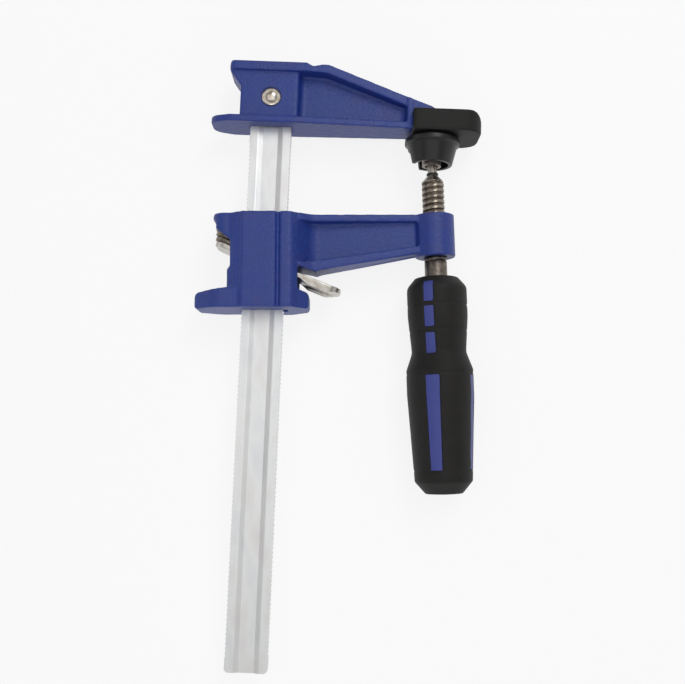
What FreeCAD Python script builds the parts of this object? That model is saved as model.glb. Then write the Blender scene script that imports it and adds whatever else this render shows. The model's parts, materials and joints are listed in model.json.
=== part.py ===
import FreeCAD, Part
import math
import os

from FreeCAD import Placement, Rotation, Vector

# Quick release bar clamp, lying on its side.
# +X is the throat direction, from the bar to the spindle; +Y runs along the bar to the fixed jaw; +Z is up.
# The origin is the centre of the fixed jaw's clamping face. All sizes are in millimetres and degrees.

# Layout of the clamp
throat = 63.5  # bar edge to the middle of the clamping face
arm_cant = 2.15  # the sliding jaw rocks this far on the bar
spindle_lean = 3.66  # the spindle's axis against the bar
pad_gap = 0.8  # between the two clamping faces, jaws closed

# Clearances
running_fit = 0.06
seat_gap = 0.1
soft_gap = 0.15
bar_play = 0.2
clutch_play = 0.1
plate_gap = 0.12
cavity_play = 0.6
overshoot = 1.0  # of a cutter past the face that it opens

# Corner radii: of sawn and stamped edges, then of the castings, then of the soft pieces
stamped_edge = 0.4
stamped_corner = 1.2
stamped_bend = 8.0
cast_crisp = 0.5
cast_edge = 1.5
cast_corner = 2.5
cast_sweep = 6.0
cast_long_sweep = 10.0
soft_edge = 0.8

# Bar
bar_width = 18.5
bar_thickness = 6.0
bar_tail_y = -238.0
bar_head_y = 22.0
bar_rim = 3.7
bar_sink = 0.8
bar_end_chamfer = 1.2
tooth_pitch = 2.0
tooth_depth = 0.4
tooth_first_y = -232.0
tooth_last_y = -6.0

# Fixed jaw casting
jaw_top_y = 29.5
jaw_sole_y = 1.6
fixed_wall_back = 4.6
fixed_wall_front = 2.8
fixed_half_depth = 8.0
fixed_web_half = 3.0
top_flange_half = 10.3
top_flange_height = 4.0
top_lug_reach = 5.1
top_lug_drop = 10.8
sole_flange_half = 10.5
sole_flange_height = 3.0
sole_flange_nose_half = 8.2
heel_reach = 13.0
dip_reach = 6.3
dip_depth = 1.5
dip_length = 2.6
hump_reach = 15.0
heel_half = 7.0
heel_shoulder = 4.0
web_blend = 1.0  # over which the casting's wall falls to its web
ridge_end_x = 1.6
ridge_end_y = 11.6
ridge_angle = 19.6
ridge_half = 7.8
nose_root_x = -12.5
tongue_half = 10.8
tongue_height = 5.6
tongue_tip_x = 19.6
tongue_corner = 7.5

# Fixed jaw pad
pad_left_x = -9.3
pad_wall = 2.2
pad_corner = 8.5
pad_shoulder = 5.0

# Head rivet
rivet_y = 13.9
rivet_shank = 5.0
rivet_head = 9.2
rivet_rim = 0.6
rivet_crown_radius = 3.0
rivet_crown = 1.9
rivet_dome = 2.4

# Sliding jaw casting, in the arm's own frame: the same origin, turned by arm_cant
slider_top = -37.1
slider_bottom = -79.2
slider_half_depth = 14.8
slider_back_wall = 5.6
slider_front_wall = 4.8
panel_back = 6.9
panel_length = 14.4
panel_step = 1.5
panel_slope = 0.7
shoulder_run = 4.1
groove_width = 1.7
column_sink = 0.2  # of the column's face below the panel's
column_edge_run = 2.6
column_edge_fall = 3.4
flank_run = 6.5
flare_start = 1.0
back_flank_half = 10.5
back_lug_reach = 6.7
back_lug_height = 5.6
back_lug_half = 11.5
waist_depth = 1.4
waist_top = -49.0
waist_bottom = -60.8
foot_height = 8.0
foot_rise = 1.0  # of a foot's top where it meets the housing
foot_overlap = 2.0
back_foot_reach = 14.6
back_foot_shoulder = 5.5
front_foot_reach = 5.0
arm_web_half = 2.2
arm_flange_half = 7.8
arm_flange_height = 3.1
arm_root_drop = 25.0
arm_tip_drop = 15.2
arm_stop_drop = 25.7
arm_stop_reach = 8.2
arm_stop_length = 1.5
arm_relief_drop = 23.3

# Threaded boss, measured down the spindle's axis from the clamping face
boss_top = 36.1
boss_bottom = 55.2
boss_radius = 8.9

# Clutch
clutch_tilt = 20.0  # of the plates against the bar, jaws locked
lever_pivot_y = -64.4
plate_count = 3
plate_thickness = 2.0
plate_half_width = 8.6
plate_heel_reach = 33.0
plate_front_reach = 3.9
plate_heel_corner = 5.0
lever_thickness = 2.3
lever_reach = 26.3
lever_tip_rise = 0.65
lever_tip_length = 5.0
lever_lip_start = 8.0
lever_lip_end = 23.5
lever_lip_depth = 1.4
lever_lip_width = 1.6
lever_lip_runout = 3.5
lever_tip_corner = 6.0

# Clutch housing inside the sliding jaw
roof_gap = 1.3
front_wall_gap = 0.5
back_wall_thickness = 1.5
housing_floor = -70.2

# Clutch spring
spring_radius = 1.55
spring_wire = 0.7
spring_turns = 4
spring_seat_gap = 0.3
spring_samples = 16  # measured points in a turn

# Spindle, measured down its axis from the clamping face
ball_drop = 9.0
ball_radius = 3.0
neck_radius = 2.1
neck_end = 17.6
cone_end = 20.6
spindle_radius = 5.0
tang_radius = 4.0
tang_length = 60.0

# Neck ring
ring_radius = 3.5
ring_height = 1.2

# Swivel pad
swivel_radius = 12.4
swivel_face_height = 3.0
swivel_skirt_radius = 11.4
swivel_rim_radius = 9.2
swivel_height = 11.9
swivel_wall = 1.8
swivel_edge = 0.6
swivel_slot_width = 4.6
swivel_slot_turn = 214.0
socket_radius = 4.3
socket_depth = 4.3
socket_mouth = 3.15
socket_throat = 2.6
socket_throat_drop = 1.9
socket_seat_drop = 0.5

# Handle, measured down the spindle's axis from the clamping face
handle_top = 64.6
handle_length = 95.1
handle_top_radius = 9.6
handle_shoulder_drop = 4.4
handle_shoulder_radius = 13.3
handle_neck_start = 17.3
handle_waist_drop = 33.4
handle_waist_radius = 12.0
handle_swell_drop = 41.2
handle_swell_radius = 14.8
handle_taper_drop = 51.8
handle_end_taper = 5.3
handle_end_radius = 12.7
handle_tip_radius = 8.2
shoulder_round = 4.0
waist_round = 5.0
swell_round = 3.5
core_radius = 9.0
grip_cover = 2.4  # over the core's ends
inlay_sink = 0.3
inlay_turn = -19.0
inlay_count = 4
dash_turn = -23.0
dash_drops = (2.6, 13.6, 25.2)
dash_length = 9.0
dash_width = 4.2
strip_drop = 43.7
strip_end_margin = 5.2
strip_top_width = 6.1
strip_end_width = 4.9
groove_drops = (12.6, 23.9, 42.7)
groove_end_margin = 4.6
groove_height = 0.9
groove_depth = 0.5

# Values that follow from the ones above
bar_right_x = -throat
bar_left_x = bar_right_x - bar_width
bar_mid_x = bar_right_x - bar_width / 2
fixed_left_x = bar_left_x - fixed_wall_back
fixed_right_x = bar_right_x + fixed_wall_front
lug_left_x = fixed_left_x - top_lug_reach
heel_left_x = fixed_left_x - heel_reach
tongue_top_y = jaw_sole_y + tongue_height
pad_right_x = tongue_tip_x + soft_gap + pad_wall
pad_half = tongue_half + soft_gap + pad_wall
pad_top_y = tongue_top_y + soft_gap + pad_wall
swivel_face_y = -pad_gap
housing_half = plate_half_width + cavity_play
slider_height = slider_top - slider_bottom
handle_end = handle_top + handle_length
handle_end_drop = handle_length - handle_end_taper

ABOUT_Z = Vector(0, 0, 1)
ABOUT_Y = Vector(0, 1, 0)


def sine(degrees):
    return math.sin(math.radians(degrees))


def cosine(degrees):
    return math.cos(math.radians(degrees))


def tangent(degrees):
    return math.tan(math.radians(degrees))


# Outlines and simple solids

def side_point(a, b):
    return Vector(a, b, 0)


def plan_point(a, b):
    return Vector(a, 0, b)


def rounded_face(corners, point):
    """Flat face through (a, b, radius) corners, each rounded by its radius."""
    stretches = []
    for i, (a, b, radius) in enumerate(corners):
        corner = Vector(a, b, 0)
        behind = corners[i - 1]
        ahead = corners[(i + 1) % len(corners)]
        back = (Vector(behind[0], behind[1], 0) - corner).normalize()
        forth = (Vector(ahead[0], ahead[1], 0) - corner).normalize()
        if radius == 0:
            stretches.append([corner])
            continue
        half_angle = back.getAngle(forth) / 2
        reach = radius / math.tan(half_angle)
        inward = (back + forth).normalize()
        middle = corner + inward * (radius / math.sin(half_angle) - radius)
        stretches.append([corner + back * reach, middle, corner + forth * reach])
    edges = []
    for i, stretch in enumerate(stretches):
        placed = [point(p.x, p.y) for p in stretch]
        if len(placed) == 3:
            edges.append(Part.Arc(*placed).toShape())
        following = stretches[(i + 1) % len(stretches)][0]
        edges.append(Part.makeLine(placed[-1], point(following.x, following.y)))
    return Part.Face(Part.Wire(edges))


def side_slab(corners, half_depth):
    """Solid with this outline in the XY plane, reaching half_depth to both sides."""
    face = rounded_face(corners, side_point)
    face.translate(Vector(0, 0, -half_depth))
    return face.extrude(Vector(0, 0, 2 * half_depth))


def plan_block(corners, low, high):
    """Solid with this outline in the XZ plane, between two heights on Y."""
    face = rounded_face(corners, plan_point)
    face.translate(Vector(0, low, 0))
    return face.extrude(Vector(0, high - low, 0))


def both_sides(half_corners):
    """Closed outline from its upper half, mirrored about the first axis."""
    return half_corners + [(a, -b, radius) for a, b, radius in reversed(half_corners)]


def turned(corners):
    """Solid of revolution about the Y axis from (radius, height, corner radius) corners."""
    return rounded_face(corners, side_point).revolve(Vector(), ABOUT_Y, 360)


def turned_about_z(shape, degrees):
    shape.rotate(Vector(), ABOUT_Z, degrees)
    return shape


def box_between(low, high):
    size = high - low
    return Part.makeBox(size.x, size.y, size.z, low)


def round_bar(radius, low, high):
    """Cylinder along Y between two heights."""
    return Part.makeCylinder(radius, high - low, Vector(0, low, 0), ABOUT_Y)


def arm_position(x, y):
    """Where a point of the clamp's frame lies in the arm's own frame."""
    return Vector(x * cosine(arm_cant) + y * sine(arm_cant), y * cosine(arm_cant) - x * sine(arm_cant), 0)


# Bar

def bar():
    """Toothed outline through the bar's thickness, with a sunk face on each side."""
    teeth = round((tooth_last_y - tooth_first_y) / tooth_pitch)
    left_side = []
    right_side = []
    for i in range(teeth):
        low = tooth_first_y + i * tooth_pitch
        left_side += [(bar_left_x, low, 0), (bar_left_x + tooth_depth, low + tooth_pitch / 2, 0)]
        right_side += [(bar_right_x, low, 0), (bar_right_x - tooth_depth, low + tooth_pitch / 2, 0)]
    outline = [(bar_right_x - bar_end_chamfer, bar_tail_y, 0), (bar_right_x, bar_tail_y + bar_end_chamfer, 0)]
    outline += right_side
    outline += [(bar_right_x, tooth_last_y, 0), (bar_right_x, bar_head_y, 0), (bar_left_x, bar_head_y, 0)]
    outline += [(bar_left_x, tooth_last_y, 0)]
    outline += reversed(left_side)
    outline += [(bar_left_x, bar_tail_y + bar_end_chamfer, 0), (bar_left_x + bar_end_chamfer, bar_tail_y, 0)]
    blank = side_slab(outline, bar_thickness / 2)
    sunk = box_between(
        Vector(bar_left_x + bar_rim, bar_tail_y, bar_thickness / 2 - bar_sink),
        Vector(bar_right_x - bar_rim, bar_head_y, bar_thickness / 2),
    )
    below = sunk.mirror(Vector(), ABOUT_Z)
    hole = rivet_cylinder(rivet_shank / 2 + seat_gap)
    return blank.cut([sunk, below, hole])


# Fixed jaw

def ridge_y(x):
    """Height of the fixed jaw's sloping top."""
    return ridge_end_y + (ridge_end_x - x) * tangent(ridge_angle)


def fixed_jaw_top():
    """Corners along the top: the plate over the bar, a shallow dip, then the long slope."""
    dip_x = bar_right_x + dip_reach
    hump_x = bar_right_x + hump_reach
    return [
        (lug_left_x, jaw_top_y, cast_edge),
        (dip_x, jaw_top_y, cast_edge),
        (dip_x + dip_length, jaw_top_y - dip_depth, cast_edge),
        (hump_x, ridge_y(hump_x), cast_long_sweep),
        (ridge_end_x, ridge_end_y, cast_edge),
    ]


def fixed_jaw():
    hump_x = bar_right_x + hump_reach
    silhouette = fixed_jaw_top() + [
        (ridge_end_x, jaw_sole_y, 0),
        (fixed_left_x, jaw_sole_y, 0),
        (fixed_left_x, jaw_top_y - top_lug_drop, cast_corner),
        (lug_left_x, jaw_top_y - top_flange_height, cast_edge),
    ]
    section = both_sides([
        (lug_left_x, fixed_half_depth, cast_edge),
        (fixed_right_x, fixed_half_depth, cast_edge),
        (fixed_right_x + web_blend, fixed_web_half, cast_corner),
        (nose_root_x, fixed_web_half, cast_corner),
        (nose_root_x + web_blend, sole_flange_nose_half, cast_crisp),
        (pad_left_x, sole_flange_nose_half, 0),
        (pad_left_x, ridge_half, 0),
        (ridge_end_x, ridge_half, cast_corner),
    ])
    height = plan_block(section, jaw_sole_y, jaw_top_y + overshoot)
    body = side_slab(silhouette, fixed_half_depth + overshoot).common(height)
    flange_drop = top_flange_height / cosine(ridge_angle)
    top_flange = side_slab(
        fixed_jaw_top() + [
            (ridge_end_x, ridge_end_y - flange_drop, 0),
            (hump_x, ridge_y(hump_x) - flange_drop, cast_sweep),
            (bar_right_x + dip_reach, jaw_top_y - top_flange_height, 0),
            (lug_left_x, jaw_top_y - top_flange_height, 0),
        ],
        top_flange_half,
    )
    flange_plan = both_sides([
        (lug_left_x, top_flange_half, cast_corner),
        (bar_right_x + dip_reach, top_flange_half, cast_long_sweep),
        (nose_root_x, ridge_half, cast_long_sweep),
        (ridge_end_x, ridge_half, cast_corner),
    ])
    top_flange = top_flange.common(plan_block(flange_plan, jaw_sole_y, jaw_top_y + overshoot))
    sole_flange = plan_block(
        both_sides([
            (heel_left_x, heel_half, cast_sweep),
            (fixed_left_x - heel_shoulder, sole_flange_half, cast_sweep),
            (bar_right_x, sole_flange_half, cast_long_sweep),
            (nose_root_x, sole_flange_nose_half, cast_long_sweep),
            (pad_left_x, sole_flange_nose_half, 0),
        ]),
        jaw_sole_y,
        jaw_sole_y + sole_flange_height,
    )
    tongue = plan_block(
        both_sides([
            (pad_left_x, tongue_half, 0),
            (tongue_tip_x, tongue_half, tongue_corner),
        ]),
        jaw_sole_y,
        tongue_top_y,
    )
    slot = box_between(
        Vector(bar_left_x - seat_gap, jaw_sole_y - overshoot, -bar_thickness / 2 - seat_gap),
        Vector(bar_right_x + seat_gap, bar_head_y + seat_gap, bar_thickness / 2 + seat_gap),
    )
    casting = body.fuse([top_flange, sole_flange, tongue]).removeSplitter()
    return casting.cut([slot, rivet_cylinder(rivet_shank / 2 + seat_gap)])


def rivet_cylinder(radius):
    """Round shape on the rivet's axis, right through the fixed jaw."""
    depth = fixed_half_depth
    return Part.makeCylinder(radius, 2 * depth, Vector(bar_mid_x, rivet_y, -depth), ABOUT_Z)


def head_rivet():
    """Shank with a crowned head on each side."""
    head = turned([
        (0, 0, 0),
        (rivet_head / 2, 0, 0),
        (rivet_head / 2, rivet_rim, 0),
        (rivet_crown_radius, rivet_crown, 0),
        (0, rivet_dome, 0),
    ])
    head.rotate(Vector(), Vector(1, 0, 0), 90)
    head.translate(Vector(bar_mid_x, rivet_y, fixed_half_depth))
    other_head = head.mirror(Vector(), ABOUT_Z)
    return rivet_cylinder(rivet_shank / 2).fuse([head, other_head])


def fixed_jaw_pad():
    """Soft cap over the tongue, slotted on top for the ridge."""
    side = [
        (pad_left_x, 0, soft_edge),
        (pad_right_x, 0, soft_edge),
        (pad_right_x, pad_top_y, pad_shoulder),
        (pad_left_x, pad_top_y, soft_edge),
    ]
    plan = both_sides([
        (pad_left_x, pad_half, cast_edge),
        (pad_right_x, pad_half, pad_corner),
    ])
    shell = side_slab(side, pad_half).common(plan_block(plan, 0, pad_top_y))
    pocket = plan_block(
        both_sides([
            (pad_left_x - overshoot, tongue_half + soft_gap, 0),
            (tongue_tip_x + soft_gap, tongue_half + soft_gap, tongue_corner),
        ]),
        jaw_sole_y - seat_gap,
        tongue_top_y + soft_gap,
    )
    ridge_slot = box_between(
        Vector(pad_left_x - overshoot, tongue_top_y, -ridge_half - soft_gap),
        Vector(ridge_end_x + soft_gap, pad_top_y + overshoot, ridge_half + soft_gap),
    )
    return shell.cut([pocket, ridge_slot])


# Clutch, in each plate's own frame: X along the plate from its pivot, Y through its thickness

def stack_pivots():
    """Heights of the plates' pivots on the bar's front edge, from the lowest up."""
    first = (lever_thickness + plate_thickness) / 2 + plate_gap
    step = plate_thickness + plate_gap
    return [lever_pivot_y + (first + i * step) / cosine(clutch_tilt) for i in range(plate_count)]


def on_bar(shape, pivot_y):
    """Turns a clutch piece to its locked tilt, pivoting on the bar's front edge."""
    turned_about_z(shape, -clutch_tilt)
    shape.translate(Vector(bar_right_x, pivot_y, 0))
    return shape


def bar_window(thickness):
    """Cutter for the bar's window, tight on the bar at the locked tilt."""
    lean_room = clutch_play + thickness / 2 * sine(clutch_tilt)
    front = lean_room / cosine(clutch_tilt)
    back = (bar_width + lean_room) / cosine(clutch_tilt)
    half = bar_thickness / 2 + bar_play
    return box_between(Vector(-back, -thickness, -half), Vector(front, thickness, half))


def clutch_plate(index):
    """Flat steel plate with a rounded heel."""
    outline = both_sides([
        (-plate_heel_reach, plate_half_width, plate_heel_corner),
        (plate_front_reach, plate_half_width, stamped_corner),
    ])
    plate = plan_block(outline, -plate_thickness / 2, plate_thickness / 2)
    return on_bar(plate.cut(bar_window(plate_thickness)), stack_pivots()[index])


def release_lever():
    """The lowest plate, drawn out through the housing as a finger lever with turned-down lips."""
    half = lever_thickness / 2
    bend_x = lever_reach - lever_tip_length
    side = [
        (-plate_heel_reach, -half, stamped_edge),
        (bend_x, -half, stamped_bend),
        (lever_reach, lever_tip_rise - half, stamped_edge),
        (lever_reach, lever_tip_rise + half, stamped_edge),
        (bend_x, half, stamped_bend),
        (-plate_heel_reach, half, stamped_edge),
    ]
    plan = both_sides([
        (-plate_heel_reach, plate_half_width, plate_heel_corner),
        (lever_reach, plate_half_width, lever_tip_corner),
    ])
    blade = side_slab(side, plate_half_width).common(plan_block(plan, -lever_thickness, 2 * lever_thickness))
    lip_foot = -half - lever_lip_depth
    lip_side = [
        (lever_lip_start, 0, 0),
        (lever_lip_start, -half, 0),
        (lever_lip_start + lever_lip_runout, lip_foot, stamped_corner),
        (lever_lip_end - lever_lip_runout, lip_foot, stamped_corner),
        (lever_lip_end, -half, 0),
        (lever_lip_end, 0, 0),
    ]
    lips = side_slab(lip_side, plate_half_width).common(plan_block(plan, lip_foot, half))
    lips = lips.cut(side_slab(lip_side, plate_half_width - lever_lip_width))
    return on_bar(blade.fuse(lips).cut(bar_window(lever_thickness)), lever_pivot_y)


# Sliding jaw, in the arm's frame

def bar_line(x, height):
    """Where a line along the bar crosses a height of the arm's frame."""
    return x / cosine(arm_cant) + height * tangent(arm_cant)


slot_width = (bar_width + slider_height * sine(arm_cant)) / cosine(arm_cant) + 2 * bar_play
slot_middle = bar_line(bar_mid_x, (slider_top + slider_bottom) / 2)
slot_left = slot_middle - slot_width / 2
slot_right = slot_middle + slot_width / 2
slider_left = slot_left - slider_back_wall
slider_right = slot_right + slider_front_wall
slider_lug_left = slider_left - back_lug_reach
boss_middle = (boss_top + boss_bottom) / 2 * sine(spindle_lean - arm_cant)
housing_front = bar_line(bar_right_x, lever_pivot_y) + plate_front_reach + front_wall_gap
housing_back = slider_left + back_wall_thickness
flare_half = slider_half_depth - column_edge_fall
exit_top = slider_top - arm_relief_drop


def arm_underside():
    """Corners along the arm's underside, from the boss to the lever's exit."""
    return [
        (boss_middle, slider_top - arm_tip_drop, 0),
        (slider_right + arm_stop_reach + arm_stop_length, slider_top - arm_root_drop, cast_crisp),
        (slider_right + arm_stop_reach, slider_top - arm_stop_drop, cast_crisp),
        (slider_right, exit_top, 0),
    ]


def slider_section():
    """Plan outline of the housing and the arm's web: panel, groove, column and flank."""
    step_half = slider_half_depth - panel_step
    column_half = slider_half_depth - column_sink
    panel_left = slider_left + panel_back
    panel_right = panel_left + panel_length
    column_left = panel_right + groove_width
    return both_sides([
        (slider_left, back_flank_half, cast_edge),
        (slider_left + shoulder_run, step_half, cast_edge),
        (panel_left - panel_step, step_half, cast_crisp),
        (panel_left, slider_half_depth, cast_crisp),
        (panel_right, slider_half_depth, cast_crisp),
        (panel_right + panel_slope, step_half, 0),
        (column_left, step_half, 0),
        (column_left + panel_slope, column_half, cast_crisp),
        (slider_right - column_edge_run, column_half, cast_corner),
        (slider_right, flare_half, cast_corner),
        (slider_right + flank_run, arm_web_half, cast_sweep),
        (boss_middle, arm_web_half, 0),
    ])


def slider_housing():
    """Housing and web: the plan outline through the height, within the side view's silhouette."""
    silhouette = [
        (slider_left + waist_depth, slider_top, 0),
        (boss_middle, slider_top, 0),
    ]
    silhouette += arm_underside()
    silhouette += [
        (slider_right, slider_bottom, 0),
        (slider_left, slider_bottom, 0),
        (slider_left, waist_bottom - waist_depth, cast_crisp),
        (slider_left + waist_depth, waist_bottom, cast_crisp),
    ]
    height = plan_block(slider_section(), slider_bottom, slider_top)
    return side_slab(silhouette, slider_half_depth + overshoot).common(height)


def slider_back_lug():
    side = [
        (slider_lug_left, slider_top, cast_edge),
        (slider_left + panel_back, slider_top, 0),
        (slider_left + panel_back, waist_top, 0),
        (slider_left + waist_depth, waist_top, cast_edge),
        (slider_lug_left, slider_top - back_lug_height, cast_corner),
    ]
    plan = both_sides([
        (slider_lug_left, back_lug_half, cast_sweep),
        (slider_left + panel_back, back_lug_half, 0),
    ])
    return side_slab(side, back_lug_half).common(plan_block(plan, waist_top, slider_top))


def slider_feet():
    """The two rounded feet and the sole between them."""
    foot_top = slider_bottom + foot_height
    back_tip = slider_left - back_foot_reach
    front_tip = slider_right + front_foot_reach
    foot_half = slider_half_depth - panel_step
    side = [
        (back_tip, slider_bottom, cast_edge),
        (front_tip, slider_bottom, cast_edge),
        (front_tip, foot_top - foot_rise, cast_corner),
        (slider_right - foot_overlap, foot_top + foot_rise, 0),
        (slider_left + foot_overlap, foot_top + foot_rise, 0),
        (back_tip, foot_top - foot_rise, cast_corner),
    ]
    plan = both_sides([
        (back_tip, foot_half / 2, cast_corner),
        (slider_left - back_foot_shoulder, foot_half, cast_long_sweep),
        (slider_right - foot_overlap, foot_half, cast_sweep),
        (front_tip, foot_half / 2, cast_corner),
    ])
    return side_slab(side, foot_half).common(plan_block(plan, slider_bottom, slider_top))


def arm_flanges():
    """Upper and lower flanges of the arm, flaring out where they meet the housing."""
    inner = slider_right - slider_front_wall
    plan = plan_block(
        both_sides([
            (inner, flare_half, 0),
            (slider_right + flare_start, flare_half, cast_corner),
            (slider_right + flank_run, arm_flange_half, cast_sweep),
            (boss_middle, arm_flange_half, 0),
        ]),
        slider_top - arm_stop_drop,
        slider_top,
    )
    upper = side_slab(
        [
            (inner, slider_top, 0),
            (boss_middle, slider_top, 0),
            (boss_middle, slider_top - arm_flange_height, 0),
            (inner, slider_top - arm_flange_height, 0),
        ],
        slider_half_depth,
    )
    lower = side_slab(
        arm_underside() + [
            (slider_right, slider_top - arm_root_drop + arm_flange_height, 0),
            (boss_middle, slider_top - arm_tip_drop + arm_flange_height, 0),
        ],
        slider_half_depth,
    )
    return plan.common(upper.fuse(lower))


def clutch_housing():
    """Cutter for the room that the plates swing in, open at the back and at the lever's exit."""
    tilt = clutch_tilt + arm_cant
    top_pivot = arm_position(bar_right_x, stack_pivots()[-1])
    roof_at_pivot = top_pivot.y + (plate_thickness / 2 + roof_gap) / cosine(tilt)
    open_left = slider_lug_left - overshoot
    return side_slab(
        [
            (open_left, roof_at_pivot + (top_pivot.x - open_left) * tangent(tilt), 0),
            (housing_front, roof_at_pivot + (top_pivot.x - housing_front) * tangent(tilt), 0),
            (housing_front, exit_top, 0),
            (slider_right + overshoot, exit_top, 0),
            (slider_right + overshoot, housing_floor, 0),
            (housing_back, housing_floor, 0),
            (housing_back, waist_bottom, 0),
            (open_left, waist_bottom, 0),
        ],
        housing_half,
    )


def sliding_jaw():
    spindle_turn = spindle_lean - arm_cant
    boss = turned_about_z(round_bar(boss_radius, -boss_bottom, -boss_top), spindle_turn)
    bore = round_bar(spindle_radius + running_fit, -boss_bottom - overshoot, -boss_top + overshoot)
    turned_about_z(bore, spindle_turn)
    slot = box_between(
        Vector(slot_left, slider_bottom - overshoot, -bar_thickness / 2 - bar_play),
        Vector(slot_right, slider_top + overshoot, bar_thickness / 2 + bar_play),
    )
    casting = slider_housing().fuse([slider_back_lug(), slider_feet(), arm_flanges(), boss]).removeSplitter()
    return turned_about_z(casting.cut([slot, bore, clutch_housing()]), arm_cant)


# Clutch spring

def arc_from(start, tangent, end):
    """Arc that leaves start along tangent and reaches end."""
    chord = end - start
    along = Vector(chord).normalize()
    side = (tangent - along * tangent.dot(along)).normalize()
    rise = chord.Length / 2 * math.tan(tangent.getAngle(along) / 2)
    return Part.Arc(start, (start + end) / 2 + side * rise, end).toShape()


def biarc(start, start_tangent, end, end_tangent):
    """Two arcs that meet smoothly between two points with given tangents."""
    chord = end - start
    spread = 2 * (1 - start_tangent.dot(end_tangent))
    lean = chord.dot(start_tangent + end_tangent)
    reach = (math.sqrt(lean**2 + spread * chord.dot(chord)) - lean) / spread
    middle = (start + end + (start_tangent - end_tangent) * reach) / 2
    middle_tangent = (end - start - (start_tangent + end_tangent) * reach).normalize()
    return [arc_from(start, start_tangent, middle), arc_from(middle, middle_tangent, end)]


def least_turn_gap(points, wire, apart):
    """Least clear distance between wire points that lie further along the wire than apart."""
    gaps = [p.distanceToPoint(q) for i, p in enumerate(points) for q in points[i + apart:]]
    return min(gaps) - wire


def clutch_spring():
    """Coil between the housing's floor and the lever's heel, as one wire with straight ends."""
    tilt = clutch_tilt + arm_cant
    outer = spring_radius + spring_wire
    axis_x = housing_back + spring_seat_gap + outer
    pivot = arm_position(bar_right_x, lever_pivot_y)
    heel_y = pivot.y + (pivot.x - axis_x - outer) * tangent(tilt) - lever_thickness / 2 / cosine(tilt)
    low = housing_floor + spring_seat_gap + spring_wire / 2
    high = heel_y - spring_seat_gap - spring_wire / 2

    def wire_point(turns):
        angle = 360 * turns
        height = low + (high - low) * turns / spring_turns
        return Vector(axis_x + spring_radius * cosine(angle), height, spring_radius * sine(angle))

    def wire_tangent(turns):
        angle = 360 * turns
        climb = (high - low) / spring_turns / (2 * math.pi * spring_radius)
        return Vector(-sine(angle), climb, cosine(angle)).normalize()

    start = wire_point(0) - wire_tangent(0) * spring_wire
    finish = wire_point(spring_turns) + wire_tangent(spring_turns) * spring_wire
    edges = [Part.makeLine(start, wire_point(0))]
    for half_turn in range(2 * spring_turns):
        here = half_turn / 2
        after = here + 1 / 2
        edges += biarc(wire_point(here), wire_tangent(here), wire_point(after), wire_tangent(after))
    edges.append(Part.makeLine(wire_point(spring_turns), finish))
    disc = Part.Wire(Part.makeCircle(spring_wire / 2, start, wire_tangent(0)))
    points = [wire_point(i / spring_samples) for i in range(spring_turns * spring_samples + 1)]
    gap = least_turn_gap(points, spring_wire, spring_samples // 2)
    print("clutch_spring least gap to itself:", round(gap, 3))
    return turned_about_z(Part.Wire(edges).makePipeShell([disc], True, False), arm_cant)


# Spindle and swivel pad

def down_spindle(shape):
    """Turns a shape built about the Y axis onto the spindle's axis."""
    return turned_about_z(shape, spindle_lean)


def spindle():
    """Ball, neck, cone, threaded shank and the tang inside the handle."""
    tang_end = handle_top + tang_length
    shank = turned([
        (0, -ball_drop, 0),
        (neck_radius, -ball_drop, 0),
        (neck_radius, -neck_end, 0),
        (spindle_radius, -cone_end, 0),
        (spindle_radius, -handle_top, 0),
        (tang_radius, -handle_top, 0),
        (tang_radius, -tang_end, 0),
        (0, -tang_end, 0),
    ])
    return down_spindle(shank.fuse(Part.makeSphere(ball_radius, Vector(0, -ball_drop, 0))))


def neck_ring():
    low = -neck_end + running_fit
    outer = round_bar(ring_radius, low, low + ring_height)
    return down_spindle(outer.cut(round_bar(neck_radius + running_fit, low, low + ring_height)))


def at_ball(shape):
    """Moves a shape built about the origin to the middle of the spindle's ball."""
    shape.translate(Vector(ball_drop * sine(spindle_lean), -ball_drop * cosine(spindle_lean), 0))
    return shape


def swivel_socket():
    """Metal collar whose throat closes round the ball."""
    top = swivel_face_y - swivel_face_height + ball_drop * cosine(spindle_lean)
    cavity = ball_radius + running_fit
    return at_ball(turned([
        (0, top, 0),
        (socket_radius, top, 0),
        (socket_radius, -socket_depth, 0),
        (socket_mouth, -socket_depth, 0),
        (socket_throat, -socket_throat_drop, 0),
        (cavity, -socket_seat_drop, 0),
        (cavity, cavity, 0),
        (0, cavity, 0),
    ]))


def swivel_cap():
    """Flat face with a tapering skirt, slotted at the back."""
    floor = swivel_face_y - swivel_face_height
    rim = swivel_face_y - swivel_height
    cup = turned([
        (0, swivel_face_y, 0),
        (swivel_radius - swivel_edge, swivel_face_y, 0),
        (swivel_radius, swivel_face_y - swivel_edge, 0),
        (swivel_radius, floor, 0),
        (swivel_skirt_radius, floor, 0),
        (swivel_rim_radius, rim, 0),
        (swivel_rim_radius - swivel_wall, rim, 0),
        (swivel_skirt_radius - swivel_wall, floor, 0),
        (0, floor, 0),
    ])
    slot = box_between(
        Vector(socket_radius, rim - overshoot, -swivel_slot_width / 2),
        Vector(swivel_radius, floor - swivel_wall, swivel_slot_width / 2),
    )
    slot.rotate(Vector(), ABOUT_Y, -swivel_slot_turn)
    cap = cup.cut(slot)
    cap.translate(Vector(ball_drop * sine(spindle_lean), 0, 0))
    return cap


# Handle, about the Y axis and downwards from the spindle's shoulder

def handle_stations():
    """Radius, drop and corner rounding at each change of the handle's profile."""
    return [
        (handle_top_radius, 0, 0),
        (handle_shoulder_radius, handle_shoulder_drop, shoulder_round),
        (handle_shoulder_radius, handle_neck_start, 0),
        (handle_waist_radius, handle_waist_drop, waist_round),
        (handle_swell_radius, handle_swell_drop, swell_round),
        (handle_swell_radius, handle_taper_drop, 0),
        (handle_end_radius, handle_end_drop, 0),
        (handle_tip_radius, handle_length, 0),
    ]


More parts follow.
